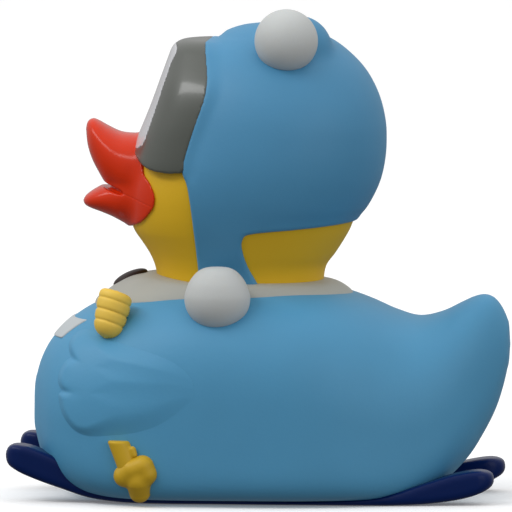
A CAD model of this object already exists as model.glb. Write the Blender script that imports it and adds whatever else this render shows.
import math

import bpy
import numpy as np
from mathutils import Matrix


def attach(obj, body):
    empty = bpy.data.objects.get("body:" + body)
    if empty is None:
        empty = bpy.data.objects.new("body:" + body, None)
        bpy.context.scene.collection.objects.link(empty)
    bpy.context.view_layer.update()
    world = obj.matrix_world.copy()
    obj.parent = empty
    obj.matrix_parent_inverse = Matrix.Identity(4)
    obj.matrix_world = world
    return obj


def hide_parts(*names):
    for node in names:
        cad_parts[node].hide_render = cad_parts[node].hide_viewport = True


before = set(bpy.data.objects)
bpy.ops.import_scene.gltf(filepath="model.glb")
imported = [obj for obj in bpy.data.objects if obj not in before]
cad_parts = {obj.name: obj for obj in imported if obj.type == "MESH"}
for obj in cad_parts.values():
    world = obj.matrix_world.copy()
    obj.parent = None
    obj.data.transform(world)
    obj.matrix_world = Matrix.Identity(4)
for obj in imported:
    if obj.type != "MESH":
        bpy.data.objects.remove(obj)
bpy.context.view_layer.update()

import openvdb
from mathutils import Quaternion, Vector

# Floating chlorine dispenser shaped as a skiing duck. Lengths are millimetres in the part's own frame
# (the stage section is in metres): the duck looks along -X, its left side faces -Y, and the ski soles
# stand on Z = 0.
MM = 0.001
COARSE = 1.0     # factor on every sampling step
REACH = 9.0                             # distances are only kept this near to a surface
WALL = 2.4                              # thickness of the moulded vinyl


# ---------------------------------------------------------------- shape tools

def curve(points, steps=14, closed=False):
    """Smooth chain through the control points, as an array of (u, v)."""
    p = np.asarray(points, float)
    n = len(p)
    out = []
    for i in range(n if closed else n - 1):
        a = p[(i - 1) % n] if closed or i > 0 else 2 * p[0] - p[1]
        b, c = p[i], p[(i + 1) % n]
        d = p[(i + 2) % n] if closed or i < n - 2 else 2 * p[-1] - p[-2]
        t0 = 0.0
        t1 = t0 + max(np.linalg.norm(b - a), 1e-6) ** 0.5
        t2 = t1 + max(np.linalg.norm(c - b), 1e-6) ** 0.5
        t3 = t2 + max(np.linalg.norm(d - c), 1e-6) ** 0.5
        for t in np.linspace(t1, t2, steps, endpoint=False):
            a1 = (t1 - t) / (t1 - t0) * a + (t - t0) / (t1 - t0) * b
            a2 = (t2 - t) / (t2 - t1) * b + (t - t1) / (t2 - t1) * c
            a3 = (t3 - t) / (t3 - t2) * c + (t - t2) / (t3 - t2) * d
            b1 = (t2 - t) / (t2 - t0) * a1 + (t - t0) / (t2 - t0) * a2
            b2 = (t3 - t) / (t3 - t1) * a2 + (t - t1) / (t3 - t1) * a3
            out.append((t2 - t) / (t2 - t1) * b1 + (t - t1) / (t2 - t1) * b2)
    if not closed:
        out.append(p[-1])
    return np.array(out)


def graph(points, steps=14):
    """Function value(u) that follows a smooth chain of (u, value)."""
    c = curve(points, steps)
    u = np.maximum.accumulate(c[:, 0] + np.arange(len(c)) * 1e-7)
    return lambda x: np.interp(x, u, c[:, 1])


def smin(a, b, k):
    """Union of two distances, rounded over a width k."""
    h = np.clip(0.5 + 0.5 * (b - a) / k, 0, 1)
    return b + (a - b) * h - k * h * (1 - h)


def smax(a, b, k):
    """Overlap of two distances, rounded over a width k."""
    return -smin(-a, -b, k)


def smooth01(t):
    """Soft step from 0 to 1."""
    t = np.clip(t, 0, 1)
    return t * t * (3 - 2 * t)


class Grid:
    """Sampling box for one piece: x, y and z broadcast against each other."""

    def __init__(self, low, high, step):
        self.step = step * COARSE
        self.low = np.array(low, float)
        count = np.ceil((np.array(high, float) - self.low) / self.step).astype(int) + 1
        axes = [self.low[i] + self.step * np.arange(count[i], dtype=np.float32) for i in range(3)]
        self.x = axes[0][:, None, None].astype(np.float32)
        self.y = axes[1][None, :, None].astype(np.float32)
        self.z = axes[2][None, None, :].astype(np.float32)
        self.shape = tuple(count)

    def distance(self, field):
        """Turns a field that is zero on the surface into a distance near it."""
        f = np.broadcast_to(field, self.shape).astype(np.float32)
        gx, gy, gz = np.gradient(f, self.step)
        slope = np.sqrt(gx * gx + gy * gy + gz * gz)
        return np.clip(f / np.maximum(slope, 0.15), -REACH, REACH)

    def outline(self, points):
        """Signed distance to a closed outline in the XZ plane, negative inside."""
        p = curve(points, 8, closed=True)
        u = self.x[:, 0, 0][:, None]
        v = self.z[0, 0, :][None, :]
        best = np.full((self.shape[0], self.shape[2]), 1e9)
        inside = np.zeros(best.shape, bool)
        q = np.roll(p, -1, axis=0)
        for (ax, az), (bx, bz) in zip(p, q):
            ex, ez = bx - ax, bz - az
            t = np.clip(((u - ax) * ex + (v - az) * ez) / max(ex * ex + ez * ez, 1e-9), 0, 1)
            best = np.minimum(best, (u - ax - t * ex) ** 2 + (v - az - t * ez) ** 2)
            if az != bz:
                crosses = ((az > v) != (bz > v)) & (u < (bx - ax) * (v - az) / (bz - az) + ax)
                inside ^= crosses
        d = np.sqrt(best) * np.where(inside, -1, 1)
        return d[:, None, :].astype(np.float32)


def surface(name, grid, distance, node, material, crisp=0):
    """Closed smooth mesh on the zero level of the distance, in place of a CAD node.

    Edges that turn by more than `crisp` degrees stay sharp; 0 shades the whole piece smooth.
    """
    reach = 3 * grid.step
    values = np.clip(np.broadcast_to(distance, grid.shape), -reach, reach).astype(np.float32)
    values = np.pad(values, 1, constant_values=reach)
    volume = openvdb.FloatGrid(reach)
    volume.copyFromArray(np.ascontiguousarray(values))
    points, _, quads = volume.convertToPolygons(0.0, 0.0)
    points = (grid.low + (points - 1.0) * grid.step) * MM
    a, b, c, d = (points[quads[:, i]] for i in range(4))
    turn = np.cross(c - a, d - b)
    if np.einsum("ij,ij->i", (a + b + c + d) / 4, turn).sum() < 0:
        quads = quads[:, ::-1]
    mesh = bpy.data.meshes.new(name)
    mesh.vertices.add(len(points))
    mesh.vertices.foreach_set("co", points.astype(np.float32).ravel())
    mesh.loops.add(quads.size)
    mesh.loops.foreach_set("vertex_index", quads.astype(np.int32).ravel())
    mesh.polygons.add(len(quads))
    mesh.polygons.foreach_set("loop_start", np.arange(0, quads.size, 4, dtype=np.int32))
    mesh.polygons.foreach_set("loop_total", np.full(len(quads), 4, dtype=np.int32))
    mesh.polygons.foreach_set("use_smooth", np.ones(len(quads), dtype=bool))
    mesh.update(calc_edges=True)
    mesh.validate()
    if crisp:
        mesh.set_sharp_from_angle(angle=math.radians(crisp))
    mesh.materials.append(material)
    obj = bpy.data.objects.new(name, mesh)
    bpy.context.scene.collection.objects.link(obj)
    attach(obj, "duck")
    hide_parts(node)


def seated(distance, skin, depth):
    """A piece that lies on the skin, ending this deep below it."""
    return np.maximum(distance, -(skin + depth))


# ---------------------------------------------------------------- materials

def material(
    name, color, roughness, coat=0.0, soft=0.0, grain=0.0, grain_size=900.0, vary=0.03, specular=0.5,
):
    """Moulded vinyl or sprayed paint: slightly uneven tone and a faint surface grain."""
    m = bpy.data.materials.new(name)
    m.use_nodes = True
    nodes, links = m.node_tree.nodes, m.node_tree.links
    shader = nodes["Principled BSDF"]
    shader.inputs["Roughness"].default_value = roughness
    shader.inputs["Specular IOR Level"].default_value = specular
    shader.inputs["Coat Weight"].default_value = coat
    shader.inputs["Coat Roughness"].default_value = 0.12
    if soft:
        shader.inputs["Subsurface Weight"].default_value = soft
        shader.inputs["Subsurface Radius"].default_value = (0.004, 0.003, 0.002)
        shader.inputs["Subsurface Scale"].default_value = 0.5
    where = nodes.new("ShaderNodeTexCoord")
    cloud = nodes.new("ShaderNodeTexNoise")
    cloud.inputs["Scale"].default_value = 38.0
    cloud.inputs["Detail"].default_value = 3.0
    links.new(where.outputs["Object"], cloud.inputs["Vector"])
    ramp = nodes.new("ShaderNodeValToRGB")
    low = [c * (1 - vary) for c in color]
    high = [min(1, c * (1 + vary)) for c in color]
    ramp.color_ramp.elements[0].position = 0.3
    ramp.color_ramp.elements[1].position = 0.7
    ramp.color_ramp.elements[0].color = (*low, 1)
    ramp.color_ramp.elements[1].color = (*high, 1)
    links.new(cloud.outputs["Fac"], ramp.inputs["Fac"])
    links.new(ramp.outputs["Color"], shader.inputs["Base Color"])
    if grain:
        fine = nodes.new("ShaderNodeTexNoise")
        fine.inputs["Scale"].default_value = grain_size
        fine.inputs["Detail"].default_value = 2.0
        links.new(where.outputs["Object"], fine.inputs["Vector"])
        bump = nodes.new("ShaderNodeBump")
        bump.inputs["Strength"].default_value = grain
        bump.inputs["Distance"].default_value = 0.0002
        links.new(fine.outputs["Fac"], bump.inputs["Height"])
        links.new(bump.outputs["Normal"], shader.inputs["Normal"])
    return m


def srgb(r, g, b):
    """Linear colour from 0-255 display values."""
    return tuple(((c / 255 + 0.055) / 1.055) ** 2.4 if c > 10 else c / 255 / 12.92 for c in (r, g, b))


BODY_BLUE = material("vinyl_body_blue", (0.075, 0.300, 0.510), 0.5, soft=0.1, grain=0.12, specular=0.35)
HOOD_BLUE = material("vinyl_hood_blue", (0.070, 0.270, 0.470), 0.5, soft=0.1, grain=0.12, specular=0.35)
SKIN_YELLOW = material("vinyl_yellow", (0.740, 0.450, 0.014), 0.5, soft=0.1, grain=0.12, specular=0.3)
WHITE = material("vinyl_white", (0.540, 0.560, 0.555), 0.6, soft=0.12, grain=0.15, specular=0.3)
COLLAR_WHITE = material("vinyl_collar", (0.400, 0.405, 0.370), 0.5, soft=0.1, grain=0.15, specular=0.3)
BIB_WHITE = material("paint_bib", (0.500, 0.540, 0.560), 0.5, grain=0.1, specular=0.3)
BILL_RED = material("paint_bill", (0.660, 0.032, 0.004), 0.18, grain=0.1, grain_size=420, specular=0.22)
GOGGLE_GREY = material(
    "paint_goggles", (0.058, 0.066, 0.054), 0.36, coat=0.4, grain=0.03, grain_size=400, specular=0.6,
)
LENS_PALE = material("paint_lens", (0.560, 0.565, 0.590), 0.25, coat=0.4, grain=0.03, grain_size=400)
TOGGLE_DARK = material("paint_toggle", (0.022, 0.010, 0.008), 0.45, specular=0.25)
POLE_YELLOW = material(
    "paint_pole", (0.560, 0.350, 0.014), 0.45, grain=0.2, grain_size=500, vary=0.07, specular=0.3,
)
GRIP_YELLOW = material(
    "paint_grip", (0.850, 0.570, 0.085), 0.45, grain=0.2, grain_size=500, vary=0.07, specular=0.3,
)
SKI_NAVY = material("paint_ski", (0.001, 0.012, 0.085), 0.26, grain=0.05, grain_size=400, specular=0.14)
CHAMBER = material("polypropylene_white", srgb(216, 220, 220), 0.42, soft=0.1, grain=0.1)
SHUTTER = material("polypropylene_blue", srgb(40, 92, 140), 0.4, grain=0.1)
RUBBER = material("black_rubber", srgb(26, 26, 27), 0.6, grain=0.2)
STEEL = material("ballast_steel", srgb(150, 152, 154), 0.35, grain=0.1)
STEEL.node_tree.nodes["Principled BSDF"].inputs["Metallic"].default_value = 1.0


# ---------------------------------------------------------------- head

HEAD_TOP = 131.9
CROWN = 94                              # above this level an offset also raises the head
HEAD_POWER = 2.15                       # how square the plan is; 2 is an ellipse

# Foremost, rearmost and half-width of the skin at each height.
HEAD_FRONT = graph([
    (54, -28.8), (61, -28.9), (65, -29.6), (68.3, -31), (71.7, -33.2), (75, -35.4), (80, -36.8),
    (86, -36.9), (92, -35.6), (98, -33.4), (104, -31.0), (110, -28.9), (116, -26.6), (121, -23.6),
    (125, -19.6), (127.4, -14.8), (128.4, -11.6), (129.7, -8.4), (130.8, -5.2), (131.5, -1.8),
    (131.9, 1.8),
])
HEAD_REAR = graph([
    (54, 17.5), (61, 17.6), (65, 18.4), (68.3, 20.8), (72, 23.2), (75, 24.9), (78.4, 26.4), (81.8, 29),
    (88.5, 32.3), (95.2, 33.8), (101.1, 34.1), (105.3, 33.8), (112, 32.1), (118.7, 28.6), (124, 23.6),
    (127.5, 18.6), (130, 12.2), (131, 8.0), (131.6, 4.8), (131.9, 2.4),
])
HEAD_HALF = graph([
    (54, 21.6), (61, 21.7), (65, 22.4), (70, 24.4), (76, 27.0), (84, 29.6), (92, 30.8), (100, 30.6),
    (108, 29.2), (115, 26.4), (121, 22.2), (125.4, 17.2), (128.6, 11.8), (130.7, 6.8), (131.6, 3.4),
    (131.9, 0.8),
])


def head(grid, grow=0.0):
    """Distance to the head surface, moved outwards by grow."""
    level = grid.z - grow * np.clip((grid.z - CROWN) / (HEAD_TOP - CROWN), 0, 1)
    front = HEAD_FRONT(level) - grow
    rear = HEAD_REAR(level) + grow
    long = (rear - front) / 2
    half = HEAD_HALF(level) + grow
    u = (grid.x - (front + rear) / 2) / long
    v = grid.y / half
    r = (np.abs(u) ** HEAD_POWER + np.abs(v) ** HEAD_POWER) ** (1 / HEAD_POWER)
    field = (r - 1) * np.minimum(long, half)
    above = level - HEAD_TOP
    field = np.where(above > 0, np.maximum(field, above) + 3 * above, field)
    return grid.distance(field)


grid = Grid((-42, -35, 53), (40, 35, 137), 0.55)
d = head(grid)
d = np.maximum(d, 56 - grid.z)
d = np.maximum(d, -(d + WALL))
surface("head_skin", grid, d, "head_shell", SKIN_YELLOW)

# Goggles: a boxy visor wrapped round the face.
VISOR_REAR, VISOR_TOP = 14.0, 128.3
VISOR_POWER = 2.3
VISOR_FRONT = graph([
    (88, -38.5), (94, -37.0), (97, -35.9), (102, -33.9), (109.8, -30.7), (120, -27.0), (130, -23.4),
])
VISOR_HALF = graph([
    (88, 29.0), (94, 29.3), (100, 29.2), (106, 28.9), (111, 28.2), (114.5, 27.2), (117.3, 25.8),
    (120, 23.8), (124, 20.3), (128, 16.6), (130, 15.0),
])
FRAME_LINE = [
    (-14.8, 140), (-14.2, 128.2), (-13.4, 123.4), (-12.7, 118), (-13.2, 113.6), (-15.2, 107.5),
    (-17.2, 101.5), (-18.8, 96), (-19.4, 92.9), (-22, 92.4), (-26, 92.5), (-29.8, 93.3), (-32.8, 95.2),
    (-35.2, 98.4), (-37.4, 102), (-44, 120), (-40, 140),
]
LENS_LINE = [
    (-22.8, 126.4), (-24.2, 122.0), (-26.2, 115.6), (-28.2, 109.2), (-30.2, 103.2), (-31.6, 99.8),
    (-34.0, 98.2), (-46, 98), (-46, 128), (-30, 128.2),
]


def visor(grid):
    """Distance to the outer face of the goggles."""
    front = VISOR_FRONT(grid.z)
    long = (VISOR_REAR - front) / 2
    half = VISOR_HALF(grid.z)
    u = np.abs((grid.x - (VISOR_REAR + front) / 2) / long)
    v = np.abs(grid.y / half)
    r = (u ** VISOR_POWER + v ** VISOR_POWER) ** (1 / VISOR_POWER)
    side = grid.distance((r - 1) * np.minimum(long, half))
    return smax(side, grid.z - VISOR_TOP, 3.4)


# Hood: front edge along the goggles, ear flap, square corner of the nape patch.
HOOD_LINE = [
    (-15.2, 140), (-15.0, 133), (-14.3, 128.2), (-13.4, 123.4), (-12.7, 118), (-13.2, 113.6),
    (-15.2, 107.5), (-17.2, 101.5), (-18.8, 96), (-19.2, 92.6), (-18.4, 89.8), (-17.3, 83), (-16.4, 74),
    (-15.8, 66), (-15.2, 60), (-12, 57.8), (-5, 57.6), (1.8, 59.2), (0.4, 62.2), (-1.6, 66),
    (-2.9, 70.2), (-3.1, 73.0), (-2.2, 74.9), (0.2, 75.6), (12, 76.6), (24, 77.5), (40, 79), (52, 100),
    (44, 140),
]
HOOD_OUT = 1.1                          # how far the hood stands out from the skin
TIP, TIP_R = (11.2, -9.4, 125.9), 9.6   # folded tip of the hood, under the pompom

grid = Grid((-24, -37, 55), (42, 37, 139), 0.5)
skin = head(grid)
line = grid.outline(HOOD_LINE)
tip = np.sqrt((grid.x - TIP[0]) ** 2 + (grid.y - TIP[1]) ** 2 + (grid.z - TIP[2]) ** 2) - TIP_R
outer = smin(head(grid, HOOD_OUT), tip, 2.2)
# Close to the goggles the hood swells until it meets their outer face.
near_goggles = smooth01(1 - grid.outline(FRAME_LINE) / 5)
outer = outer + (visor(grid) - outer) * near_goggles
d = smax(outer, line - 0.35 * near_goggles, 0.3 + 0.7 * smooth01((96 - grid.z) / 4))
surface("hood_vinyl", grid, seated(d, skin, 0.8), "hood", HOOD_BLUE)


def ball(name, centre, node, radii, squeeze):
    """Pompom: a ball that narrows a little towards its top."""
    r = max(radii) + 1.5
    low = [c - r for c in centre]
    high = [c + r for c in centre]
    g = Grid(low, high, 0.4)
    dz = (g.z - centre[2]) / radii[2]
    slim = 1 - squeeze * smooth01(dz)
    dx = (g.x - centre[0]) / (radii[0] * slim)
    dy = (g.y - centre[1]) / (radii[1] * slim)
    wide = np.sqrt(dx ** 2 + dy ** 2)
    power = 2 + 5 * squeeze * smooth01(2 * dz)
    q = (wide ** power + np.abs(dz) ** power) ** (1 / power)
    surface(name, g, g.distance((q - 1) * min(radii)), node, WHITE)


ball("pompom_top", (8.8, -19.4, 129.1), "top_pompom", (8.85, 8.6, 8.85), 0.0)
ball("pompom_left", (-9.4, -31.6, 58.0), "left_flap_pompom", (9.2, 8.2, 8.8), 0.2)
ball("pompom_right", (-9.4, 31.6, 58.0), "right_flap_pompom", (9.2, 8.2, 8.8), 0.2)

# Goggles with the pale lens across the front.
grid = Grid((-40, -34, 88), (-8, 34, 132), 0.4)
skin = head(grid)
frame_line = grid.outline(FRAME_LINE)
lens_line = grid.outline(LENS_LINE)
outer = visor(grid)
d = smax(smax(outer, frame_line, 0.3), -lens_line, 0.1)
surface("goggle_band", grid, seated(d, skin, 0.8), "goggle_frame", GOGGLE_GREY)
d = smax(smax(outer - 0.05, frame_line, 0.3), lens_line - 0.15, 0.1)
surface("goggle_pane", grid, seated(d, skin, 0.8), "goggle_lens", LENS_PALE)

# Bill: upper lip flares up, lower lip juts out, both grow out of a rounded root.
UPPER_TOP = graph([
    (-49.0, 103.0), (-48.8, 104.3), (-48.2, 105.3), (-47.0, 105.8), (-45.4, 105.2), (-43.1, 103.9),
    (-39.4, 102.2), (-36.5, 101.8), (-32, 101.8), (-24, 101.8),
])
UPPER_LOW = graph([
    (-49.0, 102.8), (-48.9, 101.4), (-48.5, 98.4), (-47.2, 94.4), (-45.2, 90.6), (-43.0, 87.2),
    (-40.4, 85.0), (-36, 82), (-24, 80),
])
UPPER_HALF = graph([
    (-49.0, 0.6), (-48.5, 3.6), (-46.8, 7.4), (-43.5, 10.8), (-38.5, 13.2), (-33, 14.6), (-24, 15),
])
LOWER_TOP = graph([
    (-49.9, 82.9), (-49.0, 84.3), (-47.4, 85.6), (-45.2, 86.9), (-43.0, 88.2), (-40, 90), (-36, 93),
    (-24, 95),
])
LOWER_LOW = graph([
    (-49.9, 82.7), (-49.2, 81.6), (-47.8, 80.8), (-45, 79.8), (-41.5, 78.4), (-38.2, 76.8),
    (-35.4, 76.4), (-24, 76.4),
])
LOWER_HALF = graph([
    (-49.9, 0.5), (-49.0, 3.8), (-47, 7.0), (-43, 10.0), (-38, 12.4), (-33, 13.6), (-24, 14),
])
LIP_POWER = 2.2


def lip(grid, tip, top, low, half):
    """Distance to one half of the bill, cut off at its tip."""
    high, deep, wide = top(grid.x), low(grid.x), half(grid.x)
    mid = (high + deep) / 2
    tall = np.maximum((high - deep) / 2, 0.05)
    u = np.abs(grid.y / wide)
    v = np.abs((grid.z - mid) / tall)
    r = (u ** LIP_POWER + v ** LIP_POWER) ** (1 / LIP_POWER)
    return smax(grid.distance((r - 1) * np.minimum(tall, wide)), tip - grid.x, 0.4)


grid = Grid((-53, -22, 70), (-25, 22, 109), 0.35)
skin = head(grid)
upper = lip(grid, -49.1, UPPER_TOP, UPPER_LOW, UPPER_HALF)
lower = lip(grid, -50.0, LOWER_TOP, LOWER_LOW, LOWER_HALF)
root = grid.outline([
    (-33.0, 102.0), (-33.2, 97.8), (-32.4, 94.1), (-31.2, 91.3), (-29.6, 89.4), (-28.4, 87.2),
    (-27.8, 84.8), (-28.3, 82.4), (-29.9, 80.2), (-31.6, 78.4), (-33.9, 77.0), (-44, 76), (-60, 78),
    (-60, 102),
])
cheek = smax(skin - 0.7, root, 0.5)
# The seam between the halves slopes down to the front and opens into the mouth near the tips.
split = grid.z - (87.4 + (grid.x + 43.0) * -0.34)
mouth = np.abs(split) + 1.0 - 1.7 * smooth01((-35.4 - grid.x) / 3.5)
whole = smin(smin(upper, lower, 1.6), cheek, 2.6)
whole = smax(whole, -smax(mouth, -(whole + 1.6), 0.4), 0.5)
whole = seated(whole, skin, 0.6)
surface("bill_upper", grid, np.maximum(whole, -0.2 - split), "upper_bill", BILL_RED, crisp=40)
surface("bill_lower", grid, np.maximum(whole, split - 0.2), "lower_bill", BILL_RED, crisp=40)


# ---------------------------------------------------------------- body

BODY_FRONT, BODY_REAR = -63.55, 70.15
WAIST = 0.38                            # widest level, as a share of the height from belly to back

BODY_TOP = graph([
    (-63.7, 26), (-63.6, 29), (-63.0, 32.6), (-61.6, 38.0), (-59.4, 42.7), (-56.2, 46.9), (-52.6, 50.2),
    (-47, 53.8), (-40, 56.6), (-30, 59.2), (-15, 61), (5, 60.8), (16, 59.6), (24.5, 57.8), (31.1, 55.6),
    (37.9, 52.8), (44.6, 51.1), (51.3, 52.5), (56.5, 55.0), (60.0, 56.6), (62.8, 57.2), (65.2, 56.5),
    (67.3, 54.3), (69.1, 50.6), (70.1, 46.6), (70.3, 43.2),
])
BODY_LOW = graph([
    (-63.7, 26), (-63.5, 22.6), (-62.5, 17.4), (-60.6, 11.8), (-57.6, 7.0), (-54, 4.2), (-49, 2.4),
    (-42, 1.4), (0, 1.1), (28, 1.1), (37, 1.2), (45, 2.2), (52, 5.4), (58, 11.2), (62.5, 18.2),
    (65.9, 25.0), (68.1, 31.8), (69.6, 38.5), (70.2, 41.4), (70.3, 43),
])
# How square the cross-section is: rounded shoulders above, flat belly below.
SHOULDER = graph([
    (-63.7, 2.2), (-46, 2.3), (-32, 2.6), (-18, 2.9), (10, 2.9), (26, 2.5), (42, 2.2), (70.3, 2.1),
])
BELLY = graph([
    (-63.7, 2.6), (-54, 3.6), (-44, 5.4), (-30, 8.0), (24, 8.0), (38, 7.2), (48, 5.6), (57, 3.4),
    (70.3, 2.3),
])
BODY_HALF = graph([
    (-63.7, 0.4), (-63.2, 6.0), (-62, 12.0), (-60, 18.4), (-56.5, 25.6), (-51, 31.6), (-43, 36.0),
    (-32, 38.8), (-16, 40.8), (0, 41.4), (14, 40.4), (27, 37), (39, 31.2), (49, 25), (57, 19.2),
    (63, 13.4), (67, 8.6), (69.2, 5), (70.2, 2), (70.3, 0.5),
])


def body(grid):
    """Distance to the body surface: a section across X, squarer at the belly than at the shoulders."""
    top = BODY_TOP(grid.x)
    low = BODY_LOW(grid.x)
    half = BODY_HALF(grid.x)
    mid = low + WAIST * (top - low)
    up = np.maximum((grid.z - mid) / np.maximum(top - mid, 0.05), 0)
    down = np.maximum((mid - grid.z) / np.maximum(mid - low, 0.05), 0)
    side = np.abs(grid.y) / half
    shoulder, belly = SHOULDER(grid.x), BELLY(grid.x)
    above = (side ** shoulder + up ** shoulder) ** (1 / shoulder)
    below = (side ** belly + down ** belly) ** (1 / belly)
    r = np.where(up > 0, above, below)
    field = (r - 1) * np.maximum(np.minimum((top - low) / 2, half), 0.3)
    return smax(grid.distance(field), np.maximum(BODY_FRONT - grid.x, grid.x - BODY_REAR), 1.2)


def flank(x, z):
    """Half-width of the body at one place."""
    top, low = float(BODY_TOP(x)), float(BODY_LOW(x))
    mid = low + WAIST * (top - low)
    power = float(SHOULDER(x) if z > mid else BELLY(x))
    rise = (z - mid) / (top - mid) if z > mid else (mid - z) / (mid - low)
    return float(BODY_HALF(x)) * (1 - rise ** power) ** (1 / power)


# Hollow body with a round hole in the belly for the chamber and an open throat under the neck.
CHAMBER_X = -6.0
BELLY_HOLE_R, BELLY_HOLE_TOP = 18.1, 20
THROAT_LONG, THROAT_HALF, THROAT_LOW = 23.2, 22.1, 50

grid = Grid((-66, -44, -0.5), (73, 44, 64), 0.7)
d = body(grid)
shaft = np.sqrt((grid.x - CHAMBER_X) ** 2 + grid.y ** 2)
shell = np.maximum(d, -(d + WALL))
shell = np.maximum(shell, -np.maximum(shaft - BELLY_HOLE_R, grid.z - BELLY_HOLE_TOP))
throat = (np.sqrt(((grid.x - CHAMBER_X) / THROAT_LONG) ** 2 + (grid.y / THROAT_HALF) ** 2) - 1) * 22
shell = np.maximum(shell, -np.maximum(throat, THROAT_LOW - grid.z))
surface("body_skin", grid, shell, "body_shell", BODY_BLUE)

# Collar band round the foot of the neck.
COLLAR_LONG = graph([
    (50, 36.8), (54, 36.6), (56.1, 34.9), (57.9, 33.2), (59.5, 30.9), (60.6, 28.5), (61.6, 25.0),
])
COLLAR_HALF = graph([(50, 26.6), (54, 26.8), (56.8, 26.6), (59, 25.8), (60.6, 24.8), (61.6, 23.4)])
COLLAR_MID = graph([(50, -10.0), (54, -9.4), (56.1, -8.4), (57.9, -7.7), (61.6, -7.2)])
COLLAR_TOP, COLLAR_CLIMB = 61.4, 1.5    # the band climbs this much more at the throat

grid = Grid((-50, -31, 51), (31, 31, 65), 0.4)
level = grid.z - COLLAR_CLIMB * smooth01((-16 - grid.x) / 16)
long = COLLAR_LONG(level)
half = COLLAR_HALF(level)
r = np.sqrt(((grid.x - COLLAR_MID(level)) / long) ** 2 + (grid.y / half) ** 2)
band = grid.distance((r - 1) * np.minimum(long, half))
band = smax(band, level - COLLAR_TOP, 1.2)
d = seated(seated(band, body(grid), 0.8), head(grid), 0.8)
surface("collar_band", grid, d, "neck_collar", COLLAR_WHITE)

# Toggle: a flat bead that lies on the slope of the collar at the throat.
TOGGLE_X, TOGGLE_Z = -36.6, 61.0
TOGGLE_COS, TOGGLE_SIN = 0.914, 0.407
TOGGLE_LONG, TOGGLE_HALF, TOGGLE_FLAT = 5.2, 4.4, 1.9

grid = Grid((-46, -8, 56), (-29, 8, 68), 0.25)
dx = (grid.x - TOGGLE_X) * TOGGLE_COS + (grid.z - TOGGLE_Z) * TOGGLE_SIN
dz = (grid.z - TOGGLE_Z) * TOGGLE_COS - (grid.x - TOGGLE_X) * TOGGLE_SIN
q = np.sqrt((dx / TOGGLE_LONG) ** 2 + (grid.y / TOGGLE_HALF) ** 2 + (dz / TOGGLE_FLAT) ** 2)
surface("toggle_bead", grid, grid.distance((q - 1) * TOGGLE_FLAT), "collar_toggle", TOGGLE_DARK)

# Bib on the chest, its sides tucked under the wings.
BIB_LOW, BIB_TOP, BIB_HALF = 45.2, 50.6, 17.4

grid = Grid((-62, -21, 41), (-40, 21, 55), 0.3)
skin = body(grid)
edge = np.abs(grid.y) - (BIB_HALF - 0.35 * (50.4 - grid.z))
patch = np.maximum(BIB_LOW - grid.z, grid.z - BIB_TOP)
d = smax(smax(skin - 0.35, patch, 0.3), edge, 0.4)
surface("bib_patch", grid, seated(d, skin, 0.7), "chest_bib", BIB_WHITE)

# Wings: three feather tips at the front, fading into the flank at the rear.
FEATHERS = [
    [
        (-50.6, 47.6), (-52.4, 44.6), (-51.6, 41.0), (-46, 36), (-30, 34), (-10, 33), (-18, 41),
        (-30, 45.2), (-41, 48.6), (-46.8, 49.8),
    ],
    [
        (-51.2, 41.2), (-53.8, 38.8), (-55.2, 34.8), (-54.2, 31.8), (-50.6, 29.8), (-36, 28), (-10, 31),
        (-14, 38), (-34, 42),
    ],
    [
        (-54.6, 31.2), (-54.4, 28.0), (-53.2, 24.6), (-50.2, 21.0), (-46.6, 19.0), (-42, 18.2),
        (-34, 18.4), (-24, 20.8), (-15.5, 26.2), (-10.8, 30), (-14, 35), (-34, 36),
    ],
]


def wing(side, word):
    """Low relief of one wing on the flank; side is -1 for the left, 1 for the right."""
    span = (-46, -10) if side < 0 else (10, 46)
    g = Grid((-60, span[0], 12), (-4, span[1], 55), 0.45)
    skin = body(g)
    lobes = [g.outline(f) for f in FEATHERS]
    region = np.minimum(np.minimum(lobes[0], lobes[1]), lobes[2])
    merged = smin(smin(lobes[0], lobes[1], 9.0), lobes[2], 9.0)
    # Separate feathers at the front, one merged form further back.
    blend = smooth01((g.x + 50) / 14)
    rise = smooth01(-(region * (1 - blend) + merged * blend) / (2.2 + 6.0 * blend))
    groove = 0.0
    for a, b in ((lobes[0], lobes[1]), (lobes[1], lobes[2])):
        seam = np.abs(a - b) / 2.4
        groove = np.maximum(groove, np.exp(-seam ** 2) * smooth01((-46 - g.x) / 9))
    # The relief dies away towards the rear and the top of the body.
    fade = smooth01((-6 - g.x) / 34) * smooth01((52 - g.z) / 9)
    height = (1.35 * rise - 0.4 * groove * rise) * fade - 0.2
    d = np.maximum(skin - height, region - 0.3)
    surface(f"wing_{word}_relief", g, seated(d, skin, 1.0), f"{word}_wing", BODY_BLUE)


# Ski poles: ribbed grip above the wing, shaft and basket below it.
GRIP_R = graph([
    (-0.6, 0.6), (0.2, 2.6), (1.6, 3.8), (3.3, 4.2), (3.75, 3.95), (4.2, 4.3), (6.4, 4.5), (6.85, 4.2),
    (7.3, 4.6), (9.7, 4.7), (10.1, 4.45), (10.5, 4.7), (12.1, 4.5), (12.8, 3.6), (13.1, 0.6),
])


def along(grid, foot, head_end):
    """Height along a leaning axis and distance from it."""
    a = np.array(foot, float)
    axis = np.array(head_end, float) - a
    axis /= np.linalg.norm(axis)
    px, py, pz = grid.x - a[0], grid.y - a[1], grid.z - a[2]
    t = px * axis[0] + py * axis[1] + pz * axis[2]
    r = np.sqrt(np.maximum(px * px + py * py + pz * pz - t * t, 0))
    return t, r


def capsule(grid, a, b, ra, rb):
    """Distance to a round bar from a to b, its radius going from ra to rb."""
    a = np.array(a, float)
    b = np.array(b, float)
    e = b - a
    px, py, pz = grid.x - a[0], grid.y - a[1], grid.z - a[2]
    t = np.clip((px * e[0] + py * e[1] + pz * e[2]) / (e @ e), 0, 1)
    away = np.sqrt((px - t * e[0]) ** 2 + (py - t * e[1]) ** 2 + (pz - t * e[2]) ** 2)
    return away - (ra + (rb - ra) * t)


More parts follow.
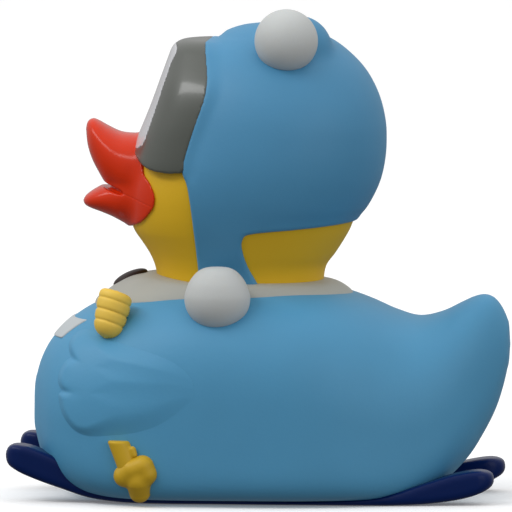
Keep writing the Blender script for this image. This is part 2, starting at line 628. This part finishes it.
def pole(side, word):
    """Grip, shaft with its strap, and basket of one pole, laid on the flank."""
    g = Grid((-48, min(side * 14, side * 34), 43), (-29, max(side * 14, side * 34), 63), 0.25)
    drop = 1.4 if side > 0 else 0.0
    beside = flank(-41, 47)
    foot = (-40.8, side * (beside + 0.8), 47.0 - drop)
    top = (-38.0, side * (beside - 1.8), 59.0 - drop)
    t, r = along(g, foot, top)
    ribs = GRIP_R(t + 0.35 * (g.x + 40) / 4)
    d = g.distance(np.maximum(r - ribs, np.maximum(-0.6 - t, t - 13.1)))
    surface(f"grip_{word}", g, seated(d, body(g), 1.2), f"{word}_pole_grip", GRIP_YELLOW)

    def on_flank(x, z, out):
        return (x, side * (flank(x, z) + out), z)

    low_y, high_y = sorted((side * 22, side * 44))
    g = Grid((-48, low_y, 8), (-24, high_y, 28), 0.25)
    d = capsule(g, on_flank(-33.4, 10, 0.2), on_flank(-36.8, 19.6, 0.2), 2.7, 3.0)
    d = smax(d, g.z - 18.6, 0.8)
    strap = capsule(g, on_flank(-32.4, 16.2, 0.9), on_flank(-32.0, 14.8, 0.9), 1.0, 1.0)
    d = smin(d, strap, 0.6)
    surface(f"shaft_{word}", g, seated(d, body(g), 0.9), f"{word}_pole_shaft", POLE_YELLOW)

    g = Grid((-44, low_y, -0.5), (-20, high_y, 18), 0.25)
    left_lobe = capsule(g, on_flank(-34.6, 8.8, 0.2), on_flank(-32.4, 10.4, 0.4), 3.2, 3.4)
    right_lobe = capsule(g, on_flank(-29.6, 11.4, 0.2), on_flank(-28.6, 9.4, 0.0), 3.3, 3.1)
    point = capsule(g, on_flank(-30.8, 7.4, 0.0), on_flank(-30.6, 4.2, -0.4), 3.7, 3.0)
    d = smin(smin(left_lobe, right_lobe, 1.2), point, 0.9)
    surface(f"basket_{word}", g, seated(d, body(g), 0.9), f"{word}_pole_basket", POLE_YELLOW)


# Skis: flat sole, turned-up tip, thick side walls with a rounded rim.
SKI_SIDE = [
    (-12, 0.05), (14, 0), (40, 0.1), (52, 0.8), (60, 2.2), (65.2, 4.2), (67.6, 6.2), (67.2, 8.6),
    (64.0, 9.6), (57, 8.8), (48, 6.2), (38, 3.2), (24, 1.7), (-8, 1.5), (-28, 2.2), (-40, 5.4),
    (-50, 10.4), (-58, 13.8), (-64.5, 15.9), (-68.2, 15.8), (-70.2, 13.6), (-69.6, 10.9), (-66.2, 8.7),
    (-60.4, 6.2), (-54, 4.0), (-46, 1.5), (-37, 0.4), (-25, 0.05),
]
SKI_MID, SKI_RUN, SKI_HALF = -1.3, 63, 5.7   # the sides run this far each way, then end round


def ski(side, word):
    """One ski: its side outline, rounded in plan and at the rim."""
    g = Grid((-73, side * 24 - 9, -1), (71, side * 24 + 9, 20), 0.5)
    profile = g.outline(SKI_SIDE)
    # The centre line runs straight under the belly and turns in a little towards both ends.
    middle = 23.8 - 2.8 * smooth01((np.abs(g.x - 4) - 34) / 24)
    beyond = np.maximum(np.abs(g.x - SKI_MID) - SKI_RUN, 0)
    plan = np.sqrt(beyond ** 2 + (g.y - side * middle) ** 2) - SKI_HALF
    d = smax(profile, plan, 2.0)
    d = seated(d, body(g), 1.0)
    surface(f"ski_{word}", g, np.maximum(d, -g.z), f"{word}_ski", SKI_NAVY)


for side, word in ((-1, "left"), (1, "right")):
    wing(side, word)
    pole(side, word)
    ski(side, word)


# ---------------------------------------------------------------- dispenser pieces kept from the CAD

for node, finish in {
    "chamber_socket": CHAMBER, "socket_gasket": RUBBER, "ballast_ring": STEEL, "tablet_cup": CHAMBER,
    "cup_seal": RUBBER, "vent_shutter": SHUTTER, "shutter_screw": SHUTTER,
}.items():
    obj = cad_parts[node]
    obj.data.materials.clear()
    obj.data.materials.append(finish)


# ---------------------------------------------------------------- stage

def stage_material(name, color, roughness, glow):
    """Plain material; a little glow of its own keeps the floor white."""
    m = bpy.data.materials.new(name)
    m.use_nodes = True
    shader = m.node_tree.nodes["Principled BSDF"]
    shader.inputs["Base Color"].default_value = (*color, 1)
    shader.inputs["Roughness"].default_value = roughness
    shader.inputs["Emission Color"].default_value = (1, 1, 1, 1)
    shader.inputs["Emission Strength"].default_value = glow
    return m


floor_mesh = bpy.data.meshes.new("floor")
floor_mesh.from_pydata([(-40, -40, 0), (40, -40, 0), (40, 40, 0), (-40, 40, 0)], [], [(0, 1, 2, 3)])
floor = bpy.data.objects.new("floor", floor_mesh)
floor_mesh.materials.append(stage_material("floor_white", (0.97, 0.97, 0.97), 0.8, 0.12))
floor.visible_diffuse = False
floor.visible_glossy = False
bpy.context.scene.collection.objects.link(floor)

# Studio surround: bright overhead, darker towards the floor.
world = bpy.data.worlds.new("studio")
bpy.context.scene.world = world
world.use_nodes = True
tree = world.node_tree
sky = tree.nodes["Background"]
sky.inputs["Color"].default_value = (1, 1, 1, 1)
where = tree.nodes.new("ShaderNodeTexCoord")
axes = tree.nodes.new("ShaderNodeSeparateXYZ")
shade = tree.nodes.new("ShaderNodeMapRange")
shade.inputs["From Min"].default_value = -0.3
shade.inputs["From Max"].default_value = 1.0
shade.inputs["To Min"].default_value = 0.2
shade.inputs["To Max"].default_value = 1.14
tree.links.new(where.outputs["Generated"], axes.inputs["Vector"])
tree.links.new(axes.outputs["Z"], shade.inputs["Value"])
tree.links.new(shade.outputs["Result"], sky.inputs["Strength"])


def lamp(name, place, aim, size, power, roll=0.0):
    """Soft rectangular lamp that the camera doesn't see; lengths in metres, roll in degrees."""
    data = bpy.data.lights.new(name, "AREA")
    data.shape = "RECTANGLE"
    data.size, data.size_y = size
    data.energy = power
    obj = bpy.data.objects.new(name, data)
    obj.location = place
    facing = (Vector(aim) - Vector(place)).to_track_quat("-Z", "Y")
    turn = facing @ Quaternion((0, 0, 1), math.radians(roll))
    obj.rotation_euler = turn.to_euler()
    obj.visible_camera = False
    bpy.context.scene.collection.objects.link(obj)


lamp("strip", (-0.95, -0.42, 1.08), (-0.02, 0, 0.11), (1.5, 0.3), 7.6, 16)
lamp("tail_side", (0.9, -0.8, 0.35), (0, 0, 0.07), (0.8, 0.8), 1.8)

# The camera looks almost level along +Y from far away, so the view is nearly parallel.
AZIMUTH = math.radians(5.0)
ELEVATION = math.radians(4.5)
DISTANCE = 6.0
FRAME_WIDTH = 0.14336                   # metres across the picture, at the object
AIM_RIGHT, AIM_UP = -0.00134, 0.0672    # middle of the picture, from the origin
sin_az, cos_az = math.sin(AZIMUTH), math.cos(AZIMUTH)
sin_el, cos_el = math.sin(ELEVATION), math.cos(ELEVATION)
right = Vector((cos_az, sin_az, 0))
up = Vector((-sin_az * sin_el, cos_az * sin_el, cos_el))
back = Vector((sin_az * cos_el, -cos_az * cos_el, sin_el))
target = right * AIM_RIGHT + up * AIM_UP
camera_data = bpy.data.cameras.new("camera")
camera_data.sensor_width = 36
camera_data.lens = 36 * DISTANCE / FRAME_WIDTH
camera_data.clip_end = 100
camera = bpy.data.objects.new("camera", camera_data)
camera.location = target + back * DISTANCE
camera.rotation_euler = (-back).to_track_quat("-Z", "Y").to_euler()
bpy.context.scene.collection.objects.link(camera)
bpy.context.scene.camera = camera
bpy.context.scene.view_settings.view_transform = "Standard"
